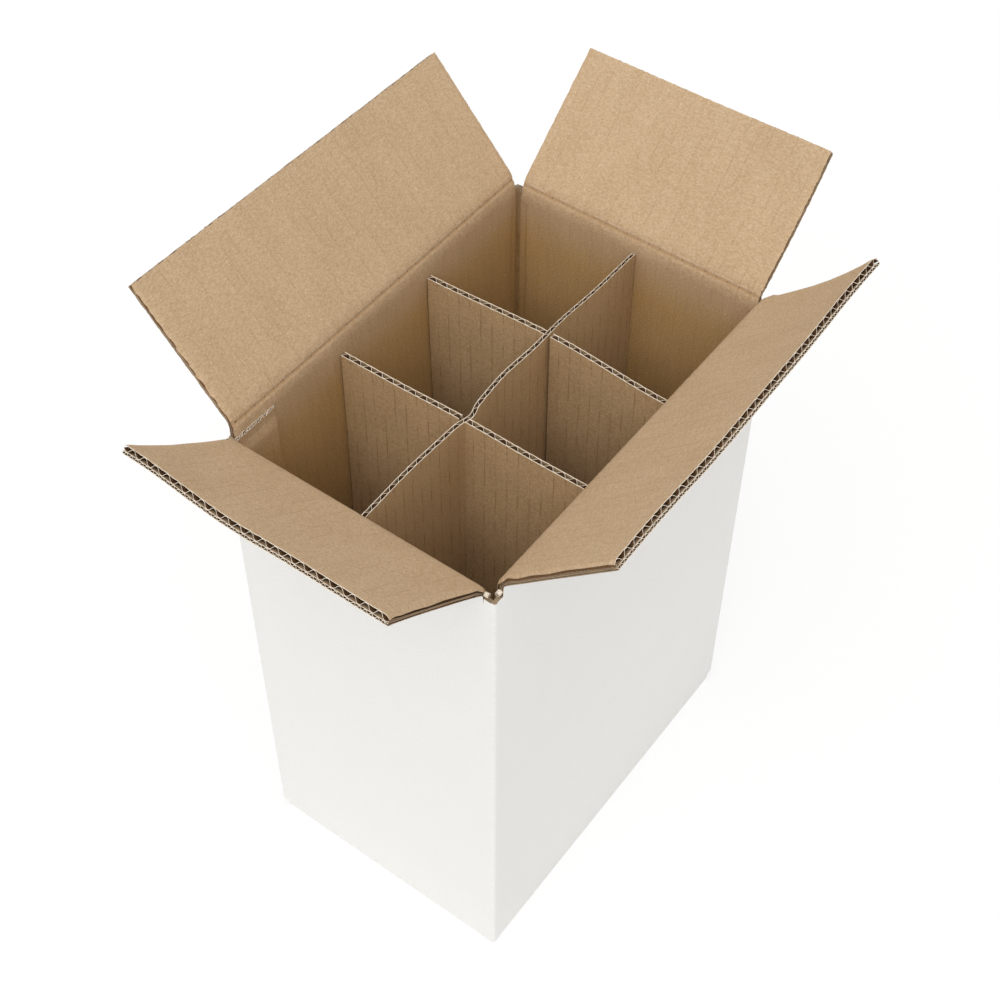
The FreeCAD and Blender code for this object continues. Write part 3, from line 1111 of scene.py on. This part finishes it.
        place = np.stack(np.broadcast_arrays(s_out[:, None], height - float(crease.origin[2]), 0.0),
                         axis=-1)
        within = np.append(in_flap[:-1] & in_flap[1:], False)[:, None]
        top = np.where(within, self._top(crease), self.slot_level)
        foot = int(np.argmax(height <= thickness + radius + CLOSE))
        keep = (height[:-1] <= top + CLOSE) & (within | (np.arange(len(height) - 1) <= foot))
        return outer, inner, place, keep
    def build(self, materials: dict[Finish, bpy.types.Material]) -> bpy.types.Object:
        """Build the walls and the bottom as one folded sheet.

        Args:
            materials: The carton's materials.

        Returns:
            The piece.
        """
        following = (*self.creases[1:], self.creases[0])
        walls = [self._wall(*pair) for pair in zip(self.creases, following)]
        outer, inner, place, keep = (np.concatenate(part) for part in zip(*walls))
        self._tear(outer, inner)
        draft = MeshDraft()
        # The edges take the pressed edge finish, whose darker colour is partly painted shade.
        draft.add_plate(outer, inner, (place, place), (Finish.WHITE, Finish.KRAFT, Finish.PRESSED),
                        keep, closed=True)
        return fix_to_root(draft.build("carton_walls", materials), "box_body")

    def _tear(self, outer: np.ndarray, inner: np.ndarray) -> None:
        """Roughen the corner posts' tops in both grids, and draw the near post's foot down.

        Args:
            outer: The points of the outer face.
            inner: The points of the inner face.
        """
        at_slot = np.abs(outer[..., 2] - self.slot_level) < 1e-6
        rough = self.ragged * wander(outer[..., 0] + 1.7 * outer[..., 1], 2.2 * MM, 5)
        outer[..., 2] += np.where(at_slot, rough, 0)
        inner[..., 2] += np.where(at_slot, rough * 0.7 - self.ragged, 0)
        ends = -np.array([self.flap_half["front_flap"], self.flap_half["left_end_flap"]])
        for grid in (outer, inner):
            near = np.all(grid[..., :2] < ends - 0.05 * MM, axis=-1)
            foot = np.abs(grid[..., 2] - self.board.thickness) < 1e-6
            grid[..., 2] = np.where(near & foot, self.low_post, grid[..., 2])


@dataclass
class GlueTab:
    """The tab that joins the sheet's ends, pressed flat inside the back wall."""

    corner: np.ndarray
    along: np.ndarray
    inward: np.ndarray
    below: float = 6.2 * MM
    width: float = 32.0 * MM
    bottom: float = 10.6 * MM
    ragged: float = 0.7 * MM
    torn: float = 8.0 * MM
    seed: int = 21

    def place(self, s: np.ndarray, u: np.ndarray, t: np.ndarray) -> np.ndarray:
        """Turn the tab's coordinates into points of the frame.

        Args:
            s: Along the wall, from the corner.
            u: Up from the crease's level.
            t: Inwards from the wall.

        Returns:
            The points, pressed together at the tab's side and top.
        """
        edge = smooth_step(s, self.width - 3 * MM, self.width)
        pressed = 1 - 0.5 * edge - 0.12 * wander(s, 20 * MM, 3) * smooth_step(s, 0, 4 * MM)
        top = smooth_step(u, -18 * MM, -11.5 * MM)
        lift = t * pressed * (1 - 0.58 * top)
        return (self.corner + s[..., None] * self.along + lift[..., None] * self.inward
                + u[..., None] * UP)

    def build(self, materials: dict[Finish, bpy.types.Material]) -> bpy.types.Object:
        """Build the tab from four crushed papers.

        Args:
            materials: The carton's materials.

        Returns:
            The piece.
        """
        draft = MeshDraft()
        kraft = (Finish.KRAFT, Finish.KRAFT, Finish.CUT)
        waved = (Finish.FLUTING, Finish.FLUTING, Finish.CUT)
        # Each layer's faces, its finishes, how far it stands up and how far it buckles, in mm.
        layers = ((0.1, 0.6, kraft, 0.4, 0.0), (0.9, 1.4, waved, 0.2, 0.3),
                  (1.8, 2.3, waved, 0.0, 0.3), (2.6, 3.2, kraft, -0.1, 0.3))
        across = samples(0.2 * MM, self.width, 0.7 * MM)
        top = -self.below
        heights = np.array([self.bottom - float(self.corner[2]), -0.25, -0.15, -0.05, -20 * MM,
                            -16.5 * MM, -13 * MM, -11 * MM, top - 2 * MM, top])
        for seed, (low, high, finishes, raised, buckled) in enumerate(layers, self.seed):
            s, u = np.meshgrid(across, heights, indexing="ij")
            tear = 0.5 * wander(s, 7 * MM, seed) + 0.5 * wander(s, 1.8 * MM, seed + 9)
            u = u + smooth_step(u, top - self.torn, top) * (self.ragged * tear + raised * MM)
            buckle = buckled * MM * wander(s, 5 * MM, seed + 4)
            buckle = buckle * smooth_step(u, top - self.torn, top)
            draft.add_sheet(self.place, (s, u), (low * MM + buckle, high * MM + buckle), finishes)
        return fix_to_root(draft.build("glue_tab", materials), "box_body")


@dataclass
class Divider:
    """One slotted panel of the partition, standing on the carton's floor."""

    node: str
    board: Board
    crossings: Sequence[float]
    slots_up: bool
    bow: Callable[[np.ndarray], np.ndarray]
    seed: int
    bow_at_foot: float = 0.0
    slot_width: float = 4.3 * MM
    ragged: float = 0.16 * MM
    pressed: float = 0.0

    def __post_init__(self) -> None:
        """Read the panel's place from the frame."""
        low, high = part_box(self.node)
        self.low, self.high = np.array(low), np.array(high)
        along_x = high.x - low.x > high.y - low.y
        self.along = np.array([1.0, 0, 0]) if along_x else np.array([0, 1.0, 0])
        self.across = np.cross(UP, self.along)
        self.middle = (self.low + self.high) / 2
        self.half = float((self.high - self.low) @ self.along) / 2
        self.height = float(self.high[2] - self.low[2])

    def place(self, s: np.ndarray, u: np.ndarray, t: np.ndarray) -> np.ndarray:
        """Turn board coordinates into points of the frame, bowed where the panel is loose.

        Args:
            s: Along the panel, from its middle.
            u: Up from the panel's foot.
            t: Through the board.

        Returns:
            The points.
        """
        flat = self.pressed * (0.55 + 0.45 * smooth_step(s, 20 * MM, 60 * MM))
        push = (t - self.board.thickness / 2) * (1 - flat)
        if self.bow is not None:
            rise = smooth_step(u, self.height * 0.2, self.height)
            push = push + self.bow(s) * (self.bow_at_foot + (1 - self.bow_at_foot) * rise)
        foot = np.array([self.middle[0], self.middle[1], self.low[2]])
        return (foot + s[..., None] * self.along + push[..., None] * self.across
                + u[..., None] * UP)

    def build(self, materials: dict[Finish, bpy.types.Material]) -> bpy.types.Object:
        """Build the panel's papers, cut its slots and set it in the carton.

        Args:
            materials: The partition's materials.

        Returns:
            The divider's piece.
        """
        draft = MeshDraft()
        edges = [middle + side * self.slot_width / 2
                 for middle in self.crossings for side in (-1, 1)]
        slot_end, torn = self.height / 2, self.height - 1.5 * MM
        rows = samples(0, self.height, 22 * MM, (slot_end, 4 * MM, self.height - 6 * MM, torn))
        for number, paper in enumerate(self.board.papers):
            across = samples(-self.half, self.half, paper.step, edges)
            s, u = np.meshgrid(across, rows, indexing="ij")
            s_mid, u_mid = (across[1:] + across[:-1]) / 2, (rows[1:] + rows[:-1]) / 2
            in_slot = np.any([abs(s_mid - middle) < self.slot_width / 2
                              for middle in self.crossings], axis=0)
            in_half = u_mid > slot_end if self.slots_up else u_mid < slot_end
            seed = self.seed * 17 + number
            tear = self.ragged * (wander(s, 8 * MM, seed) + 0.6 * wander(s, 2 * MM, seed + 1))
            u = u + smooth_step(u, torn, self.height) * (tear * 0.5 - self.ragged)
            draft.add_sheet(self.place, (s, u), paper.span(s, self.board.medium),
                            (*paper.finishes, Finish.CUT), ~(in_slot[:, None] & in_half))
        return fix_to_root(draft.build(f"{self.node}_board", materials), self.node)


@dataclass
class Studio:
    """The pale floor, the soft light and the camera."""

    azimuth: float = math.radians(-53.829)
    elevation: float = math.radians(49.782)
    roll: float = math.radians(0.351)
    distance: float = 1254.74 * MM
    aim_right: float = 2.22 * MM
    aim_up: float = -165.38 * MM
    focal_share: float = 1.77402
    sensor: float = 36.0
    floor_size: float = 8.0
    floor_colour: tuple[float, ...] = (0.93, 0.93, 0.925, 1)
    floor_white: float = 0.76
    floor_glow: float = 1.03
    sky: float = 0.588
    sky_colour: tuple[float, ...] = (1.0, 0.995, 0.985, 1)
    sun: float = 1.56
    sun_width: float = math.radians(55)
    sun_colour: tuple[float, ...] = (1.0, 0.99, 0.97)
    sun_from: tuple[float, float] = (-70.0, 61.0)

    def build(self) -> None:
        """Make the floor, the light and the camera."""
        self._floor()
        self._world()
        self._sun()
        self._camera()

    @staticmethod
    def _add(name: str, data: bpy.types.ID) -> bpy.types.Object:
        """Add an object to the scene.

        Args:
            name: The object's name.
            data: The mesh, lamp or camera that it shows.

        Returns:
            The new object.
        """
        made = bpy.data.objects.new(name, data)
        bpy.context.scene.collection.objects.link(made)
        return made

    @staticmethod
    def _towards(azimuth: float, elevation: float) -> Vector:
        """Return the direction from the box to a place, by its angles in radians."""
        return Vector((math.sin(azimuth) * math.cos(elevation),
                       -math.cos(azimuth) * math.cos(elevation), math.sin(elevation)))

    @staticmethod
    def _white_for_camera(graph: Graph, strength: float) -> bpy.types.NodeSocket:
        """Return a share that is above 0 only for rays that show the background.

        Args:
            graph: The node tree to add to.
            strength: The share for such rays.

        Returns:
            The share's socket.
        """
        path = graph.node("LightPath")
        seen = path.outputs["Is Camera Ray"]
        for name in ("Is Glossy Ray", "Is Transmission Ray"):
            seen = graph.math("MAXIMUM", seen, path.outputs[name])
        return graph.math("MULTIPLY", seen, strength)

    def _floor(self) -> None:
        """Lay a wide pale floor that keeps the object's shadow."""
        mesh = bpy.data.meshes.new("floor")
        half = self.floor_size / 2
        mesh.from_pydata([(-half, -half, 0), (half, -half, 0), (half, half, 0), (-half, half, 0)],
                         [], [(0, 1, 2, 3)])
        floor = self._add("floor", mesh)
        graph = Graph(bpy.data.materials.new("pale_floor"))
        matt = graph.node("BsdfDiffuse", {"Color": self.floor_colour})
        white = graph.node("Emission", {"Color": PLAIN_WHITE, "Strength": self.floor_glow})
        graph.show(graph.node("MixShader", {
            0: self._white_for_camera(graph, self.floor_white),
            1: matt.outputs[0], 2: white.outputs[0]}))
        mesh.materials.append(graph.owner)

    def _world(self) -> None:
        """Light the object from all sides, and show plain white behind it."""
        world = bpy.data.worlds.new("studio")
        bpy.context.scene.world = world
        graph = Graph(world, "OutputWorld")
        sky = graph.node("Background", {0: self.sky_colour, 1: self.sky})
        plain = graph.node("Background", {0: PLAIN_WHITE, 1: 1.0})
        graph.show(graph.node("MixShader", {0: self._white_for_camera(graph, 1.0),
                                            1: sky.outputs[0], 2: plain.outputs[0]}))

    def _sun(self) -> None:
        """Add one large soft lamp high on the left."""
        lamp = bpy.data.lights.new("soft_sun", "SUN")
        lamp.energy, lamp.angle, lamp.color = self.sun, self.sun_width, self.sun_colour
        back = self._towards(*(math.radians(value) for value in self.sun_from))
        self._add("soft_sun", lamp).rotation_euler = back.to_track_quat("Z", "Y").to_euler()

    def _camera(self) -> None:
        """Set the camera where the photograph was taken from."""
        back = self._towards(self.azimuth, self.elevation)
        right = Vector(UP).cross(back).normalized()
        up = back.cross(right)
        sine, cosine = math.sin(self.roll), math.cos(self.roll)
        turned_right = right * cosine + up * sine
        turned_up = -right * sine + up * cosine
        lens = bpy.data.cameras.new("camera")
        lens.sensor_width = self.sensor
        lens.lens = self.focal_share * self.sensor
        camera = self._add("camera", lens)
        place = back * self.distance - turned_right * self.aim_right - turned_up * self.aim_up
        axes = Matrix((turned_right, turned_up, back)).transposed().to_4x4()
        camera.matrix_world = Matrix.Translation(place) @ axes
        bpy.context.scene.camera = camera


def long_bow(s: np.ndarray) -> np.ndarray:
    """Return how far the long divider bows sideways, by the place along it.

    Args:
        s: Where along the divider.

    Returns:
        The sideways shift.
    """
    bulge = 2.6 * hump(s - 2 * MM, 24 * MM) + 1.9 * hump(s - 52 * MM, 26 * MM)
    dip = 2.3 * hump(s + 35 * MM, 6.5 * MM)
    tail = 1.3 * hump(s + 84 * MM, 30 * MM)
    return (bulge - dip + tail) * MM


def left_lean(s: np.ndarray) -> np.ndarray:
    """Return how far the left cross divider's top leans to the middle of the box."""
    return -(2.6 + 0.9 * hump(s, 30 * MM)) * MM


def right_lean(s: np.ndarray) -> np.ndarray:
    """Return how far the right cross divider's top leans to the middle, most at its front end."""
    return (1.0 + 3.0 * smooth_step(s, 0, 84 * MM) + 5.0 * smooth_step(-s, 0, 84 * MM)) * MM


def report(piece: bpy.types.Object) -> None:
    """Log a piece's name and the number of its faces."""
    log.info("%s: %d faces", piece.name, len(piece.data.polygons))


def flap_shapes() -> dict[str, dict]:
    """Return what sets each flap apart: its side cuts, its curl and its rolled paper."""
    return {
        "front_flap": {
            "rims": (Rim(pinch=0.34, reach=3.0 * MM), Rim(pinch=0.45, reach=4.5 * MM)),
            "curl": 3.5 * MM, "sag": 2.6 * MM, "short": 2.5 * MM,
            "ringlet": Ringlet(-126.6 * MM, -2.1 * MM, -6.0 * MM)},
        "right_end_flap": {
            "rims": (Rim(saw=0.45 * MM, saw_pitch=2.4 * MM), Rim()),
            "curl": 4.5 * MM, "sag": 0.6 * MM, "curl_end": -1},
        "back_flap": {
            "rims": (Rim(saw=0.7 * MM), Rim(pinch=0.4, reach=3.0 * MM)),
            "short": 2.0 * MM, "curl_end": -1},
        "left_end_flap": {
            "rims": (Rim(), Rim(pinch=0.42, reach=3.2 * MM, hollow=0.8 * MM)),
            "curl": 4.0 * MM, "sag": 0.2 * MM, "curl_end": -1,
            "ringlet": Ringlet(84.2 * MM, -1.8 * MM, -0.6 * MM)},
    }


def make_carton(materials: dict[Finish, bpy.types.Material]) -> None:
    """Build the walls, the glue tab and the four flaps.

    Args:
        materials: The carton's materials.
    """
    board, shapes = double_wall(CARTON_BOARD), flap_shapes()
    creases = {joint["child"]: Crease.from_joint(joint) for joint in frame["joints"]}
    halves = {}
    for name in shapes:
        low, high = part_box(name)
        halves[name] = float(abs((high - low) @ Vector(creases[name].along))) / 2
    slot_level = float(creases["left_end_flap"].origin[2]) - SLOT_DROP
    report(Carton([creases[name] for name in shapes], halves, board, slot_level).build(materials))
    inner = np.array(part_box("box_body")[1]) - board.thickness
    corner = np.array([-inner[0], inner[1], creases["back_flap"].origin[2]])
    report(GlueTab(corner, np.array([1.0, 0, 0]), np.array([0, -1.0, 0])).build(materials))
    for seed, (name, shape) in enumerate(shapes.items(), FLAP_SEED):
        flap = Flap(creases[name], halves[name], FLAP_DEPTH, board, seed, **shape)
        report(flap.build(materials))


def make_partition(materials: dict[Finish, bpy.types.Material]) -> None:
    """Build the three dividers.

    Args:
        materials: The partition's materials.
    """
    board = single_wall(DIVIDER_BOARD)
    boxes = (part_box("left_cross_divider"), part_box("right_cross_divider"))
    crossings = [(low.x + high.x) / 2 for low, high in boxes]
    for divider in (
        Divider("long_divider", board, crossings, slots_up=False, bow=long_bow, seed=41,
                bow_at_foot=0.35, pressed=0.4),
        Divider("left_cross_divider", board, [0.0], slots_up=True, bow=left_lean, seed=42),
        Divider("right_cross_divider", board, [1.0 * MM], slots_up=True, bow=right_lean, seed=43),
    ):
        report(divider.build(materials))


def main() -> None:
    """Build the carton, the partition and the studio around it."""
    logging.basicConfig(level=logging.INFO, format="%(name)s: %(message)s")
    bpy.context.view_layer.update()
    palette = Palette()
    carton = palette.carton()
    make_carton(carton)
    make_partition(palette.partition(carton))
    Studio().build()
    scene = bpy.context.scene
    scene.view_settings.view_transform = "Standard"


if __name__ == "__main__":
    main()
